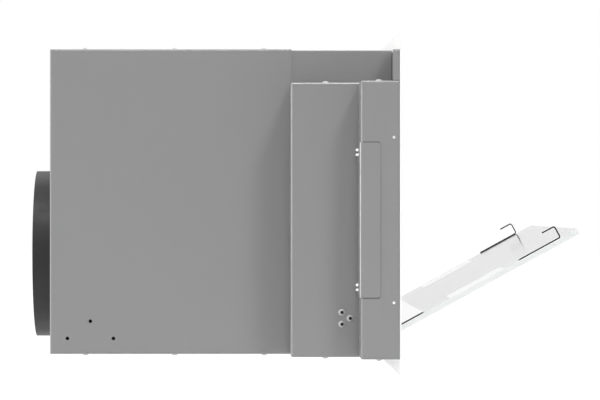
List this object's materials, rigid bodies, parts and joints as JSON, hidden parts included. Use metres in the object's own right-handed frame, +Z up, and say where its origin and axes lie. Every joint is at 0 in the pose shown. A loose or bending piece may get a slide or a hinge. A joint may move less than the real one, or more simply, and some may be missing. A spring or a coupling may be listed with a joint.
{
  "type": "reflow oven",
  "caption": "Panel-mounted batch reflow oven: folded sheet casing with stepped side boxes, tilting powered glass door, heated chamber with wire tray, and a round rear exhaust collar.",
  "frame": {"origin": "centre of the four panel screws, on the plane where the back of the white front panel meets the cabinet", "axes": "+X out of the door towards the user, +Y towards the controls, +Z up; the picture looks along +Y at the -Y side"},
  "size_m": [0.6228, 0.752, 0.369],
  "materials": {
    "paint": "fine satin light grey paint on folded sheet",
    "panel_white": "smooth white paint",
    "stainless": "brushed stainless sheet",
    "zinc": "zinc plated sheet and blocks",
    "screw_steel": "bright screws",
    "collar_black": "smooth moulded black",
    "safety_glass": "clear toughened glass, polished edges",
    "brass": "turned",
    "wool": "pressed mineral fibre board",
    "gasket": "moulded silicone",
    "heater_tube": "frosted quartz tube with ceramic ends",
    "black_plastic": "moulded black",
    "display_black": "smooth dark window",
    "board_green": "solder mask",
    "start_green": "moulded",
    "stop_red": "moulded",
    "fan_black": "moulded glass-filled plastic"
  },
  "bodies": {
    "casing": {"side_cover_left": "paint", "side_cover_right": "paint", "base_pan": "zinc", "top_pan": "zinc", "rear_panel": "paint", "front_chassis": "paint", "front_frame": "paint", "front_fascia": "panel_white", "drive_box_left": "paint", "drive_box_right": "paint", "end_box_left": "paint", "end_box_right": "paint", "slot_cover_left": "paint", "slot_cover_right": "paint", "cover_screws": "screw_steel", "box_screws": "screw_steel", "hinge_screws": "screw_steel", "slot_cover_screws": "screw_steel", "frame_screws": "screw_steel", "hinge_bushes": "brass", "hinge_blocks": "zinc", "door_buffers": "black_plastic", "door_motor": "zinc", "door_motor_bracket": "zinc", "chamber_liner": "stainless", "insulation": "wool", "front_bulkhead": "zinc", "rear_bulkhead": "zinc", "door_gasket": "gasket", "heaters_top": "heater_tube", "heaters_bottom": "heater_tube", "heater_holders": "stainless", "fan_baffle": "stainless", "thermocouple": "stainless", "circulation_motor": "black_plastic", "tray_rails": "stainless", "exhaust_collar": "collar_black", "exhaust_fan_frame": "fan_black", "display": "display_black", "menu_encoder": "zinc", "button_switches": "black_plastic", "control_board": "board_green", "power_supply": "zinc", "solid_state_relays": "black_plastic", "mains_inlet": "black_plastic"},
    "door": {"door_glass": "safety_glass", "door_lower_plate": "stainless", "door_upper_clips": "stainless", "door_arms": "stainless", "hinge_shafts": "screw_steel", "door_gear_sector": "zinc"},
    "pinion": {"drive_pinion": "brass"},
    "tray": {"tray": "stainless", "tray_handle": "stainless"},
    "circulation_rotor": {"circulation_impeller": "stainless"},
    "exhaust_rotor": {"exhaust_fan_rotor": "fan_black"},
    "knob": {"menu_knob": "black_plastic"},
    "start_button": {"start_button": "start_green"},
    "stop_button": {"stop_button": "stop_red"},
    "rocker": {"power_rocker": "stop_red"}
  },
  "joints": [
    {"name": "door_hinge", "type": "hinge", "parent": "casing", "child": "door", "pos_m": [-0.058, 0, -0.1275], "axis": [0, 1, 0], "range_deg": [-61.3, 0]},
    {"name": "pinion_spin", "type": "hinge", "parent": "casing", "child": "pinion", "pos_m": [-0.09519, -0.3015, -0.09031], "axis": [0, 1, 0], "range_deg": [0, 246]},
    {"name": "tray_slide", "type": "slide", "parent": "casing", "child": "tray", "axis": [1, 0, 0], "range_m": [0, 0.17]},
    {"name": "circulation_spin", "type": "hinge", "parent": "casing", "child": "circulation_rotor", "pos_m": [-0.268, 0, 0.016], "axis": [1, 0, 0], "continuous": true},
    {"name": "exhaust_spin", "type": "hinge", "parent": "casing", "child": "exhaust_rotor", "pos_m": [-0.3646, 0, -0.062], "axis": [1, 0, 0], "continuous": true},
    {"name": "knob_turn", "type": "hinge", "parent": "casing", "child": "knob", "pos_m": [0.007, 0.291, 0.018], "axis": [1, 0, 0], "continuous": true},
    {"name": "start_press", "type": "slide", "parent": "casing", "child": "start_button", "axis": [-1, 0, 0], "range_m": [0, 0.0015], "stiffness_N_per_m": 600},
    {"name": "stop_press", "type": "slide", "parent": "casing", "child": "stop_button", "axis": [-1, 0, 0], "range_m": [0, 0.0015], "stiffness_N_per_m": 600},
    {"name": "rocker_tip", "type": "hinge", "parent": "casing", "child": "rocker", "pos_m": [-0.381, 0.19, -0.091], "axis": [0, 1, 0], "range_deg": [-16, 0]}
  ],
  "couplings": [
    {"joint": "pinion_spin", "follows": "door_hinge", "ratio": -4}
  ]
}
